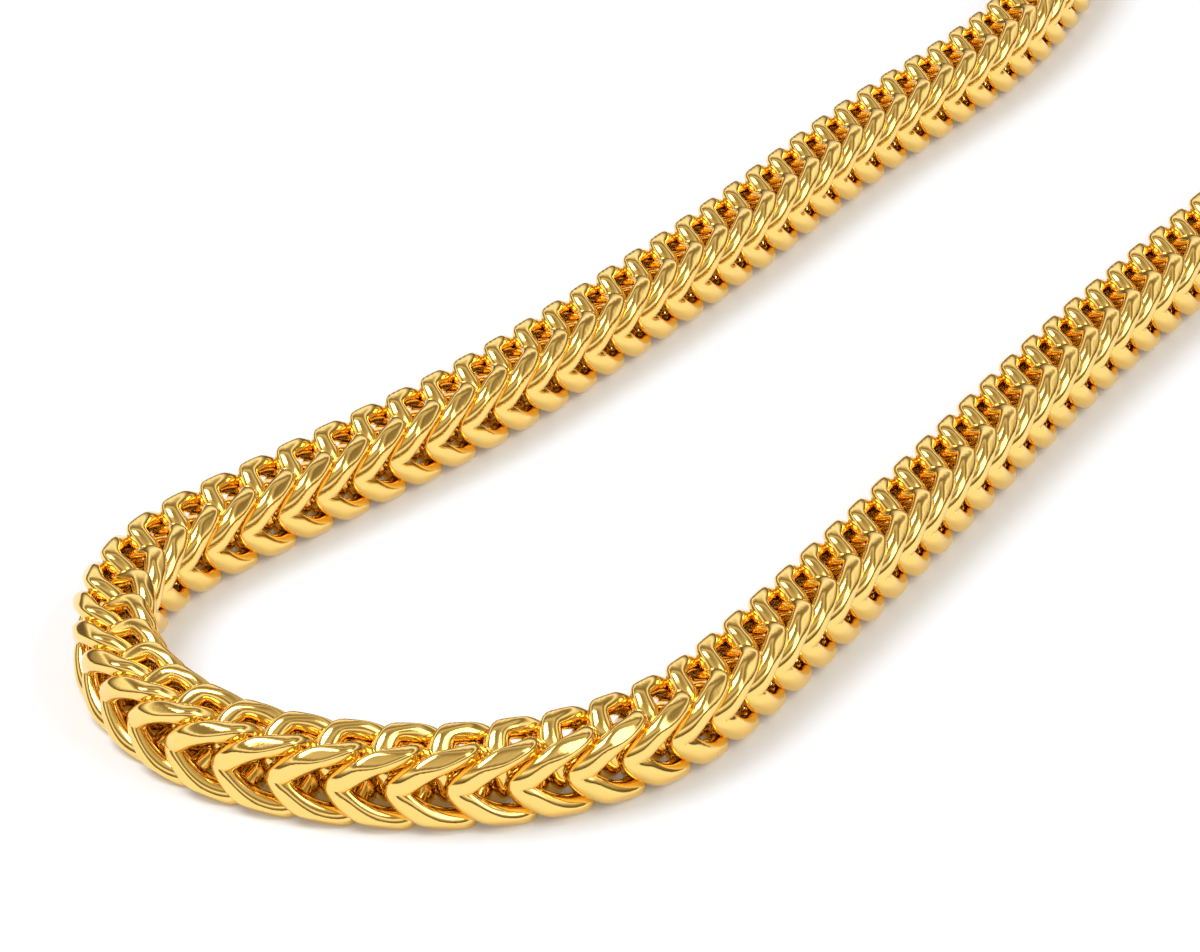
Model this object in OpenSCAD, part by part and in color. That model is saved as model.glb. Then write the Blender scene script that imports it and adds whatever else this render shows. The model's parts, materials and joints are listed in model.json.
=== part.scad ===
// Franco chain necklace lying flat as a closed loop.
// Outer and inner links alternate. The two kinds are one shape: an oval ring
// folded to a V on the chain's side, and the inner ones are turned half round
// about the vertical. Each reaches in between its neighbours but doesn't pass
// through them: how the wires hook inside the chain isn't modelled.
// The front bend is made of separate links. The rest of the loop is a plain
// square bar with cut corners, and a plain clasp closes it at the back.
// Lengths are in millimetres. The loop rests on z = 0.

// Which piece to draw

/* [Chain] */
// Length of the whole loop, the clasp included
necklace_length = 597; // [500:1:700]
// Width and height of the square chain, over its flats
chain_width = 4.4; // [3.6:0.1:6]
// Width over the flats on the chain's corners
corner_width = 5; // [4.6:0.1:7.5]
// Distance along the chain from one outer link to the next
link_pitch = 2.8; // [2:0.05:5]
// Thickness of a link's wire
wire_d = 0.9; // [0.5:0.05:1.4]
// Depth of the flats cut into the wire on the chain's four faces
flat_depth = 0.12; // [0:0.01:0.2]
// Number of outer links in the front bend, with as many inner ones
front_links = 30; // [12:1:34]
// Where the middle of the linked stretch lies, along the loop from the bend
front_shift = 8.6; // [-10:0.2:20]

/* [Back of the loop] */
// Cut on each corner of the plain bar
corner_cut = 1; // [0.5:0.1:1.6]
// Distance between the rings of the plain bar
bar_step = 8; // [7:0.5:14]
// Gap between the plain bar and the last link
join_gap = 0.15; // [0.1:0.05:1]

/* [Clasp] */
// Length of the solid middle of the clasp
clasp_length = 12; // [6:1:24]
// Wall of the caps that hold the chain's ends
clasp_wall = 1; // [0.6:0.1:2]
// Depth of the caps
cap_depth = 4; // [2:0.5:8]
// Gap between a cap and the chain in it
clasp_gap = 0.3; // [0.2:0.05:0.6]
// Rounding of the clasp's upright corners
clasp_round = 1.2; // [0.4:0.1:2]

/* [Hidden] */
// Route of the whole loop, seen from above: the points that pull the curve, drawn
// for a loop of route_length
route_length = 597;
route = [
  [-27.5, -21], [-39, -35.5], [-47.5, -51.5], [-55.5, -63.5],
  [-62.5, -74], [-69.5, -81.5], [-74.5, -87], [-79.5, -92],
  [-81.5, -99], [-80, -106], [-75, -112.5], [-67, -115],
  [-59, -114.5], [-52, -110], [-48, -103], [-44, -96],
  [-37, -83], [-28.5, -66.5], [-19, -51.5], [-4.5, -24.5],
  [17, -7], [42, 7], [63.5, 24.5], [79, 48.5],
  [82, 77], [70, 104.5], [43.5, 117], [14.5, 110],
  [-6.5, 91], [-17.5, 64.5], [-20.5, 36.5], [-20, 8.5]
];
// Point of the route list at the middle of the bend
bend_point = 9;

// Half of one link's centre line, from its fold on the chain's side, over the top
// to the wire inside the chain. The other half mirrors it downwards.
// Columns: share of link_pitch forward, share of reach outward, share of reach up
link_table = [
  [-0.28,  0.74, 0.00],
  [-0.11,  0.86, 0.30],
  [ 0.22,  0.90, 0.68],
  [ 0.60,  0.78, 0.95],
  [ 0.90,  0.50, 0.95],
  [ 1.05,  0.10, 0.62],
  [ 1.07, -0.13, 0.34],
  [ 1.06, -0.20, 0.17],
  [ 1.05, -0.21, 0.00]
];
// Middle of a link's ring, in the same shares: the wire's section faces it
link_heart = [0.5, 0.3, 0];
wire_sides = 6;
route_steps = 12;

half_width = chain_width / 2;
reach = half_width + flat_depth - wire_d / 2;
half_link = len(link_table) - 1;
stations = 2 * half_link;

// A row of the whole ring: the first half, then its mirror image
function ring_row(i) =
  i <= half_link
    ? link_table[i]
    : [link_table[stations - i].x, link_table[stations - i].y, -link_table[stations - i].z];

function in_mm(r) = [r.x * link_pitch, r.y * reach, r.z * reach];

ring = [for (i = [0 : stations - 1]) in_mm(ring_row(i))];
heart = in_mm(link_heart);

function unit(v) = v / norm(v);
function clip(v, m) = max(-m, min(m, v));

// A point of the straight chain, cut to the flats on the sides and on the corners
function side_flats(q) = [q.x, clip(q.y, half_width), clip(q.z, half_width)];
function corner_flats(q) =
  let (over = max(0, abs(q.y) + abs(q.z) - corner_width / sqrt(2)) / 2)
  [q.x, q.y - sign(q.y) * over, q.z - sign(q.z) * over];

// One station of a link's wire, as a round of points cut to the chain's flats
function station(i) =
  let (
    c = ring[i],
    t = unit(ring[(i + 1) % stations] - ring[(i + stations - 1) % stations]),
    out = c - heart,
    a = unit(out - t * (out * t)),
    b = cross(t, a)
  )
  [for (k = [0 : wire_sides - 1])
    let (
      w = 360 * (k + 0.5) / wire_sides,
      q = c + (a * cos(w) + b * sin(w)) * wire_d / 2
    )
    corner_flats(side_flats(q))
  ];

outer_link = [for (i = [0 : stations - 1]) each station(i)];
inner_link = [for (q = outer_link) [link_pitch / 2 - q.x, -q.y, q.z]];

// Smooth closed curve through the route, and its length from the first point
function pull(i) = route[(i + len(route)) % len(route)] * necklace_length / route_length;
function curve(i, w) =
  pull(i - 1) * pow(1 - w, 3) / 6
  + pull(i) * (3 * pow(w, 3) - 6 * pow(w, 2) + 4) / 6
  + pull(i + 1) * (-3 * pow(w, 3) + 3 * pow(w, 2) + 3 * w + 1) / 6
  + pull(i + 2) * pow(w, 3) / 6;
samples = [for (i = [0 : len(route) - 1]) for (j = [0 : route_steps - 1]) curve(i, j / route_steps)];
count = len(samples);
function sums(i, total) =
  i > count ? [] : concat([total], sums(i + 1, total + norm(samples[(i + 1) % count] - samples[i % count])));
arcs = sums(0, 0);
loop_length = arcs[count];
mid_x = (max([for (q = samples) q.x]) + min([for (q = samples) q.x])) / 2;
mid_y = (max([for (q = samples) q.y]) + min([for (q = samples) q.y])) / 2;
table_x = [for (i = [0 : count]) [arcs[i], samples[i % count].x - mid_x]];
table_y = [for (i = [0 : count]) [arcs[i], samples[i % count].y - mid_y]];
function wrap(s) = s - floor(s / loop_length) * loop_length;
function spot(s) = [lookup(wrap(s), table_x), lookup(wrap(s), table_y)];
function heading(s) = unit(spot(s + 1) - spot(s - 1));

// A point of the straight chain, laid on the route: x along, y outward, z up
function lay(q, s) =
  let (
    p = spot(s + q.x),
    t = heading(s + q.x)
  )
  [p.x + t.y * q.y, p.y - t.x * q.y, q.z + half_width];

bend_arc = arcs[bend_point * route_steps];
front_span = (front_links - 0.5) * link_pitch;
first_link = bend_arc + front_shift - front_span / 2;
// How far a link reaches forward from its zero
link_tip = link_pitch * max([for (r = link_table) r.x]) + wire_d / 2;
front_start = first_link + link_pitch / 2 - link_tip;
front_end = first_link + (front_links - 1) * link_pitch + link_tip;

function wall_faces(rings, sides, base, closed) =
  [for (i = [0 : rings - (closed ? 1 : 2)]) for (k = [0 : sides - 1])
    let (
      n = (i + 1) % rings,
      a = base + i * sides + k,
      b = base + i * sides + (k + 1) % sides,
      c = base + n * sides + (k + 1) % sides,
      d = base + n * sides + k
    )
    each [[a, b, c], [a, c, d]]
  ];

link_size = stations * wire_sides;
front_points = [for (n = [0 : front_links - 1]) each concat(
  [for (q = outer_link) lay(q, first_link + n * link_pitch)],
  [for (q = inner_link) lay(q, first_link + n * link_pitch)]
)];
front_faces = [for (n = [0 : 2 * front_links - 1]) each wall_faces(stations, wire_sides, n * link_size, true)];

// The plain bar's section, outward and up, going round
bar_outline = [
  [half_width, half_width - corner_cut],
  [half_width - corner_cut, half_width],
  [corner_cut - half_width, half_width],
  [-half_width, half_width - corner_cut],
  [-half_width, corner_cut - half_width],
  [corner_cut - half_width, -half_width],
  [half_width - corner_cut, -half_width],
  [half_width, corner_cut - half_width]
];
bar_sides = len(bar_outline);

// The clasp's middle is halfway round the bar
back_length = loop_length - (front_end - front_start) - 2 * join_gap;
clasp_arc = front_end + join_gap + back_length / 2;
run_length = back_length / 2 - clasp_length / 2 - clasp_gap;
bar_rings = ceil(run_length / bar_step) + 1;

function bar_points(from) =
  [for (i = [0 : bar_rings - 1]) for (q = bar_outline)
    lay([0, q.x, q.y], from + run_length * i / (bar_rings - 1))];
function bar_faces(base) = concat(
  wall_faces(bar_rings, bar_sides, base, false),
  [[for (k = [bar_sides - 1 : -1 : 0]) base + k]],
  [[for (k = [0 : bar_sides - 1]) base + (bar_rings - 1) * bar_sides + k]]
);
back_points = concat(
  bar_points(front_end + join_gap),
  bar_points(clasp_arc + clasp_length / 2 + clasp_gap)
);
back_faces = concat(bar_faces(0), bar_faces(bar_rings * bar_sides));

cap_inner = chain_width + 2 * clasp_gap;
clasp_width = cap_inner + 2 * clasp_wall;
clasp_height = chain_width + clasp_gap + clasp_wall;
cap_offset = clasp_length / 2 + cap_depth / 2;

module chain_front() {
  color("#d9a93a") polyhedron(points = front_points, faces = front_faces);
}

module chain_back() {
  color("#d9a93a") polyhedron(points = back_points, faces = back_faces);
}

// Puts a cap's parts at its place along the route, on one side of the clasp's middle
module at_cap(side) {
  p = spot(clasp_arc + side * cap_offset);
  t = heading(clasp_arc + side * cap_offset) * side;
  translate([p.x, p.y, 0]) rotate([0, 0, atan2(t.y, t.x)]) children();
}

module clasp() {
  color("#d9a93a") difference() {
    linear_extrude(height = clasp_height)
      offset(r = clasp_round, $fn = 48) offset(delta = -clasp_round) hull() {
        at_cap(-1) square([cap_depth, clasp_width], center = true);
        at_cap(1) square([cap_depth, clasp_width], center = true);
      }
    for (side = [-1, 1])
      at_cap(side) translate([-cap_depth / 2, -cap_inner / 2, -1])
        cube([2 * cap_depth, cap_inner, 1 + chain_width + clasp_gap]);
  }
}

chain_front();
chain_back();
clasp();
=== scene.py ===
"""Looks of the franco chain: every link of the loop, polished gold, a white floor and a macro camera.

Each link is a ring of its own that reaches in between its neighbours and doesn't hook through them.
Where neighbouring wires meet, they sink into each other by up to about half a millimetre.
"""

import json
import math

import bpy
import numpy as np
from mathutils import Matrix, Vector

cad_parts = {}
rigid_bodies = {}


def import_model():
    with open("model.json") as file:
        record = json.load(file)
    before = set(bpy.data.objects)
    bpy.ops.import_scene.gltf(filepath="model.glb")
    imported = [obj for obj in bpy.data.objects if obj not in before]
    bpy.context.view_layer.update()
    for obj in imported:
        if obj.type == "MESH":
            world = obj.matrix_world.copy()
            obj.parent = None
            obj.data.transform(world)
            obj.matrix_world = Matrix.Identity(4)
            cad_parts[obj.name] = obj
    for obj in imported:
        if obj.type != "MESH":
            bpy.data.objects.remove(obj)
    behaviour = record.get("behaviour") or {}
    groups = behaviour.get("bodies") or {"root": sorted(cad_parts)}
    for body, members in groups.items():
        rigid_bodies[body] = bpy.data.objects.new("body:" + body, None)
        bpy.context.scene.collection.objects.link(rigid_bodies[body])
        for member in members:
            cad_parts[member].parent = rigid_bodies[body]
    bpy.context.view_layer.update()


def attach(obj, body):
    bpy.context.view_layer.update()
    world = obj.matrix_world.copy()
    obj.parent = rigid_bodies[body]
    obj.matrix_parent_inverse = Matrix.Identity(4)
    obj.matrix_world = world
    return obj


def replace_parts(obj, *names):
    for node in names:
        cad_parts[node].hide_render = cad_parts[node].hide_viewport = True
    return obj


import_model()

MM = 0.001

# the chain, in millimetres; the part's source has the same WIDTH, PITCH, WIRE, FLAT, LINKED,
# FRONT_SHIFT, ROUTE, CAD_STEPS and HEART, a CORNER of 5 and a table like LINK with other shares
WIDTH = 4.4              # over the flats on the four faces
CORNER = 5.25            # over the flats on the corners
PITCH = 2.8              # from one outer link to the next
WIRE = 0.9               # thickness that LINK's last two shares refer to
FLAT = 0.12              # how far such a wire stands past a face when its centre is at REACH
REACH = WIDTH / 2 + FLAT - WIRE / 2
SOFT = 0.16              # rounding of a flat's edge, above and below the flat
LINKED = 30              # outer links in the CAD's front stretch, with as many inner ones
FRONT_SHIFT = 8.6        # from the middle of the bend to the middle of that stretch
CLASP_ROOM = 16          # least stretch without links, at the clasp

# the points that pull the route of the loop, seen from above
ROUTE = np.array([
    (-27.5, -21), (-39, -35.5), (-47.5, -51.5), (-55.5, -63.5),
    (-62.5, -74), (-69.5, -81.5), (-74.5, -87), (-79.5, -92),
    (-81.5, -99), (-80, -106), (-75, -112.5), (-67, -115),
    (-59, -114.5), (-52, -110), (-48, -103), (-44, -96),
    (-37, -83), (-28.5, -66.5), (-19, -51.5), (-4.5, -24.5),
    (17, -7), (42, 7), (63.5, 24.5), (79, 48.5),
    (82, 77), (70, 104.5), (43.5, 117), (14.5, 110),
    (-6.5, 91), (-17.5, 64.5), (-20.5, 36.5), (-20, 8.5),
])
BEND_POINT = 9           # point of the route at the middle of the bend
CAD_STEPS = 12           # steps from one point to the next in the part's source, which set the length
FINE_STEPS = 60          # steps of the curve that the links are laid on
LOOK = 0.4               # how far ahead and behind, in millimetres, the route's heading is read

# half of a link's centre line: shares of PITCH forward, of REACH outward and of REACH up,
# then the wire's depth and width there, as shares of WIRE
LINK = np.array([
    (-0.28, 0.71, 0.00, 1.20, 1.40),
    (-0.11, 0.82, 0.30, 1.25, 1.46),
    (0.22, 0.85, 0.66, 1.38, 1.30),
    (0.57, 0.75, 0.89, 1.42, 1.26),
    (0.89, 0.54, 0.91, 1.40, 1.20),
    (1.05, 0.11, 0.62, 1.60, 1.60),
    (1.07, -0.13, 0.34, 1.40, 1.90),
    (1.06, -0.20, 0.17, 0.95, 1.90),
    (1.05, -0.21, 0.00, 0.85, 1.90),
])
UPSIDE_DOWN = (1, 1, -1, 1, 1)   # mirrors a row of LINK to the lower half
HEART = np.array([0.5 * PITCH, 0.3 * REACH, 0])   # middle of a link's ring
# the wire's depth points away from the chain's middle line and, with this weight, away from HEART
HEART_SHARE = 0.35
RING_STEPS = 24          # steps from one row of LINK to the next, before they are evened out
HALF_TURN = (-1, -1, 1)  # about the vertical, which makes an outer link an inner one
# the way that each pair of flats faces, and the width over them
FLATS = (((0, 1, 0), WIDTH), ((0, 0, 1), WIDTH), ((0, 1, 1), CORNER), ((0, 1, -1), CORNER))

# stations round a link's ring and sides round its wire
FRONT_MESH = (64, 28)
NEAR_MESH = (48, 20)
FAR_MESH = (30, 10)
NEAR_LINKS = 26          # outer links on each side of the front stretch that get NEAR_MESH

# gold
GOLD_COLOUR = (1.0, 0.68, 0.20, 1)
GLOSSIEST = 0.07         # roughness where the gloss is strongest
DULLEST = 0.17           # roughness where it is weakest
HAZE_SCALE = 700         # of the spots where the gloss changes
HAZE_DETAIL = 3
GRAIN_SCALE = 1600       # of the polishing marks
GRAIN_STRENGTH = 0.12
GRAIN_DEPTH = 0.05       # mm

# floor
FLOOR_SIZE = 3           # m
FLOOR_COLOUR = (0.85, 0.9, 1.0, 1)
FLOOR_ROUGHNESS = 0.7
FLOOR_SPECULAR = 0.2
FLOOR_GLOW = 0.12

# camera, fitted to the photo
TILT_DOWN = 27.477       # degrees
EYE_HEIGHT = 138.045     # mm above the surface
EYE_TO_ROUTE = np.array([56.0, 344.0])   # mm, from below the eye to the zero of ROUTE
FOCAL_PX = 5436.3
PHOTO_WIDTH = 1200       # pixels
SENSOR_WIDTH = 36        # mm
NEAREST = 0.01           # m, where the camera's view starts
FURTHEST = 10            # m, where it ends

# the room that the gold mirrors: how far up a direction points, and the brightness there
ROOM = (
    (0.0, 0.14), (0.12, 0.08), (0.28, 0.35), (0.45, 1.0),
    (0.56, 0.3), (0.68, 0.15), (0.8, 0.55), (1.0, 0.23),
)
WARMTH = (1, 1.12, 1.35)   # powers of the brightness in red, green and blue
ROOM_STRENGTH = 1.3
LIGHT_AIM = (-0.03, -0.05, 0)   # m, where the lamps point


# the route and the straight chain laid on it
def unit(vectors):
    return vectors / np.linalg.norm(vectors, axis=-1, keepdims=True)


def arc_lengths(points):
    """Lengths along a closed curve from its first point to each one and back to the first."""
    steps = np.roll(points, -1, 0) - points
    return np.concatenate([[0], np.cumsum(np.linalg.norm(steps, axis=1))])


def pulled_curve(points, steps):
    """Closed cubic B-spline that the points pull."""
    count = len(points)
    curve = []
    for i in range(count):
        a, b, c, d = (points[(i + k) % count] for k in (-1, 0, 1, 2))
        for j in range(steps):
            w = j / steps
            curve.append(a * (1 - w) ** 3 / 6 + b * (3 * w**3 - 6 * w**2 + 4) / 6
                         + c * (-3 * w**3 + 3 * w**2 + 3 * w + 1) / 6 + d * w**3 / 6)
    return np.array(curve)


coarse = pulled_curve(ROUTE, CAD_STEPS)
coarse_arcs = arc_lengths(coarse)
middle = (coarse.max(0) + coarse.min(0)) / 2
LENGTH = coarse_arcs[-1]
fine = pulled_curve(ROUTE, FINE_STEPS) - middle
fine_arcs = arc_lengths(fine)
fine_arcs *= LENGTH / fine_arcs[-1]
loop = np.vstack([fine, fine[:1]])


def spot(arc):
    """Places on the route at these lengths along it."""
    arc = np.mod(arc, LENGTH)
    return np.stack([np.interp(arc, fine_arcs, loop[:, 0]), np.interp(arc, fine_arcs, loop[:, 1])], -1)


def heading(arc):
    return unit(spot(arc + LOOK) - spot(arc - LOOK))


def lay(points, start):
    """Points of the straight chain laid on the route: x along, y outward, z up."""
    arc = start + points[:, 0]
    place = spot(arc)
    ahead = heading(arc)
    return np.stack([
        place[:, 0] + ahead[:, 1] * points[:, 1],
        place[:, 1] - ahead[:, 0] * points[:, 1],
        points[:, 2] + WIDTH / 2,
    ], 1)


def lay_normals(normals, points, start):
    """Normals of those points, turned with the route."""
    ahead = heading(start + points[:, 0])
    return np.stack([
        ahead[:, 0] * normals[:, 0] + ahead[:, 1] * normals[:, 1],
        ahead[:, 1] * normals[:, 0] - ahead[:, 0] * normals[:, 1],
        normals[:, 2],
    ], 1)


# one link's shape
def smooth_ring(rows, stations):
    """Closed smooth curve through the rows, at evenly spaced stations."""
    count = len(rows)
    curve = []
    for i in range(count):
        a, b, c, d = (rows[(i + k) % count] for k in (-1, 0, 1, 2))
        for w in np.arange(0, 1, 1 / RING_STEPS):
            curve.append(0.5 * ((2 * b) + (c - a) * w + (2 * a - 5 * b + 4 * c - d) * w**2
                                + (3 * b - a - 3 * c + d) * w**3))
    curve = np.array(curve)
    arcs = arc_lengths(curve[:, :3])
    curve = np.vstack([curve, curve[:1]])
    even = np.linspace(0, arcs[-1], stations, endpoint=False)
    return np.stack([np.interp(even, arcs, column) for column in curve.T], 1)


def cut_flats(points, normals):
    """Points and normals of a link, cut to the chain's flats with soft edges."""
    for direction, across in FLATS:
        direction = unit(np.array(direction, float))
        for side in (-1, 1):
            way = direction * side
            over = points @ way - across / 2
            share = np.clip((over + SOFT) / (2 * SOFT), 0, 1)
            points = points - np.where(over > SOFT, over, SOFT * share**2)[:, None] * way
            facing = (normals @ way)[:, None] * way
            normals = unit(facing + (normals - facing) * (1 - share)[:, None])
    return points, normals


def tube_faces(stations, sides):
    faces = []
    for i in range(stations):
        ahead = (i + 1) % stations
        for k in range(sides):
            beside = (k + 1) % sides
            faces.append((i * sides + k, ahead * sides + k, ahead * sides + beside, i * sides + beside))
    return np.array(faces)


def link_mesh(stations, sides):
    """Points, their normals and the faces of one outer link."""
    rows = np.vstack([LINK, LINK[1:-1][::-1] * UPSIDE_DOWN])
    ring = smooth_ring(rows * (PITCH, REACH, REACH, WIRE / 2, WIRE / 2), stations)
    centre = ring[:, :3]
    deep = ring[:, 3, None, None]
    wide = ring[:, 4, None, None]
    along = unit(np.roll(centre, -1, 0) - np.roll(centre, 1, 0))
    out = centre * (0, 1, 1) + HEART_SHARE * (centre - HEART)
    depthwise = unit(out - along * (out * along).sum(1)[:, None])
    widthwise = np.cross(along, depthwise)[:, None]
    depthwise = depthwise[:, None]
    angle = 2 * np.pi * (np.arange(sides) + 0.5) / sides
    cosine = np.cos(angle)[None, :, None]
    sine = np.sin(angle)[None, :, None]
    points = centre[:, None] + depthwise * cosine * deep + widthwise * sine * wide
    normals = unit(depthwise * cosine * wide + widthwise * sine * deep)
    points, normals = cut_flats(points.reshape(-1, 3), normals.reshape(-1, 3))
    return points, normals, tube_faces(stations, sides)


def chain_piece(name, starts, mesh, turned, material):
    """One object of links in a row, an inner row if turned."""
    points, normals, faces = link_mesh(*mesh)
    if turned:
        points = points * HALF_TURN + (PITCH / 2, 0, 0)
        normals = normals * HALF_TURN
    all_points = np.vstack([lay(points, start) for start in starts]) * MM
    all_normals = unit(np.vstack([lay_normals(normals, points, start) for start in starts]))
    all_faces = np.vstack([faces + i * len(points) for i in range(len(starts))])
    data = bpy.data.meshes.new(name)
    data.from_pydata(all_points.tolist(), [], all_faces.tolist())
    data.update()
    data.shade_smooth()
    data.normals_split_custom_set_from_vertices(all_normals.tolist())
    data.materials.append(material)
    piece = bpy.data.objects.new(name, data)
    bpy.context.scene.collection.objects.link(piece)
    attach(piece, "root")
    return piece


# materials
def gold():
    """Polished gold whose gloss varies a little, with faint polishing marks."""
    material = bpy.data.materials.new("gold")
    material.use_nodes = True
    nodes = material.node_tree.nodes
    wires = material.node_tree.links
    shader = nodes["Principled BSDF"]
    shader.inputs["Base Color"].default_value = GOLD_COLOUR
    shader.inputs["Metallic"].default_value = 1.0
    coord = nodes.new("ShaderNodeTexCoord")
    haze = nodes.new("ShaderNodeTexNoise")
    haze.inputs["Scale"].default_value = HAZE_SCALE
    haze.inputs["Detail"].default_value = HAZE_DETAIL
    gloss = nodes.new("ShaderNodeMapRange")
    gloss.inputs["To Min"].default_value = GLOSSIEST
    gloss.inputs["To Max"].default_value = DULLEST
    grain = nodes.new("ShaderNodeTexNoise")
    grain.inputs["Scale"].default_value = GRAIN_SCALE
    bump = nodes.new("ShaderNodeBump")
    bump.inputs["Strength"].default_value = GRAIN_STRENGTH
    bump.inputs["Distance"].default_value = GRAIN_DEPTH * MM
    wires.new(coord.outputs["Object"], haze.inputs["Vector"])
    wires.new(coord.outputs["Object"], grain.inputs["Vector"])
    wires.new(haze.outputs["Fac"], gloss.inputs["Value"])
    wires.new(gloss.outputs["Result"], shader.inputs["Roughness"])
    wires.new(grain.outputs["Fac"], bump.inputs["Height"])
    wires.new(bump.outputs["Normal"], shader.inputs["Normal"])
    return material


def white():
    """Matt, slightly blue white of the floor, with a faint glow."""
    material = bpy.data.materials.new("sweep_white")
    material.use_nodes = True
    shader = material.node_tree.nodes["Principled BSDF"]
    shader.inputs["Base Color"].default_value = FLOOR_COLOUR
    shader.inputs["Roughness"].default_value = FLOOR_ROUGHNESS
    shader.inputs["Specular IOR Level"].default_value = FLOOR_SPECULAR
    shader.inputs["Emission Color"].default_value = (1, 1, 1, 1)
    shader.inputs["Emission Strength"].default_value = FLOOR_GLOW
    return material


GOLD = gold()
first = coarse_arcs[BEND_POINT * CAD_STEPS] + FRONT_SHIFT - (LINKED - 0.5) * PITCH / 2


def front_links():
    """The links that stand for the CAD's front stretch."""
    starts = [first + n * PITCH for n in range(LINKED)]
    for name, turned in (("front_outer_links", False), ("front_inner_links", True)):
        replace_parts(chain_piece(name, starts, FRONT_MESH, turned, GOLD), "chain_front")


def back_links():
    """The links that stand for the CAD's plain bar, on both sides up to the clasp."""
    count = int((LENGTH - LINKED * PITCH - CLASP_ROOM) / PITCH / 2)
    after = [first + (LINKED + n) * PITCH for n in range(count)]
    before = [first - (n + 1) * PITCH for n in range(count)]
    near_starts = after[:NEAR_LINKS] + before[:NEAR_LINKS]
    far_starts = after[NEAR_LINKS:] + before[NEAR_LINKS:]
    for name, turned in (("outer_links", False), ("inner_links", True)):
        near = chain_piece("near_" + name, near_starts, NEAR_MESH, turned, GOLD)
        far = chain_piece("far_" + name, far_starts, FAR_MESH, turned, GOLD)
        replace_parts(near, "chain_back")
        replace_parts(far, "chain_back")


def gild_clasp():
    """The clasp stays the CAD's own piece, in the same gold."""
    for piece in bpy.data.objects:
        if piece.type == "MESH" and piece.name.startswith("clasp"):
            piece.data.materials.clear()
            piece.data.materials.append(GOLD)


def floor():
    bpy.ops.mesh.primitive_plane_add(size=FLOOR_SIZE, location=(0, 0, 0))
    plane = bpy.context.object
    plane.name = "floor"
    plane.data.materials.append(white())


def camera():
    eye = -EYE_TO_ROUTE - middle
    piece = bpy.data.objects.new("camera", bpy.data.cameras.new("camera"))
    bpy.context.scene.collection.objects.link(piece)
    piece.location = (eye[0] * MM, eye[1] * MM, EYE_HEIGHT * MM)
    piece.rotation_euler = (math.radians(90 - TILT_DOWN), 0, 0)
    piece.data.sensor_fit = "HORIZONTAL"
    piece.data.sensor_width = SENSOR_WIDTH
    piece.data.lens = SENSOR_WIDTH * FOCAL_PX / PHOTO_WIDTH
    piece.data.clip_start = NEAREST
    piece.data.clip_end = FURTHEST
    bpy.context.scene.camera = piece


def room():
    """A world with dark and bright bands for the gold to mirror."""
    world = bpy.data.worlds.new("room")
    world.use_nodes = True
    nodes = world.node_tree.nodes
    wires = world.node_tree.links
    coord = nodes.new("ShaderNodeTexCoord")
    split = nodes.new("ShaderNodeSeparateXYZ")
    ramp = nodes.new("ShaderNodeValToRGB")
    wires.new(coord.outputs["Generated"], split.inputs[0])
    wires.new(split.outputs["Z"], ramp.inputs["Fac"])
    stops = ramp.color_ramp.elements
    stops[0].position = 0
    stops[1].position = 1
    for height, _ in ROOM[1:-1]:
        stops.new(height)
    for stop, (height, brightness) in zip(stops, ROOM):
        stop.position = height
        stop.color = (*(brightness**power for power in WARMTH), 1)
    wires.new(ramp.outputs["Color"], nodes["Background"].inputs["Color"])
    nodes["Background"].inputs["Strength"].default_value = ROOM_STRENGTH
    bpy.context.scene.world = world


def area(name, place, size, power):
    """A rectangular lamp that faces LIGHT_AIM; place and size in metres, power in watts."""
    data = bpy.data.lights.new(name, "AREA")
    data.shape = "RECTANGLE"
    data.size, data.size_y = size
    data.energy = power
    lamp = bpy.data.objects.new(name, data)
    bpy.context.scene.collection.objects.link(lamp)
    lamp.location = place
    aim = Vector(np.array(LIGHT_AIM) - np.array(place))
    lamp.rotation_euler = aim.to_track_quat("-Z", "Y").to_euler()


front_links()
back_links()
gild_clasp()
floor()
camera()
room()
area("key", place=(-0.45, -0.1, 0.8), size=(0.5, 0.5), power=4.6)
area("fill", place=(0.6, -0.4, 0.6), size=(0.35, 0.7), power=2.2)
bpy.context.scene.view_settings.view_transform = "Standard"
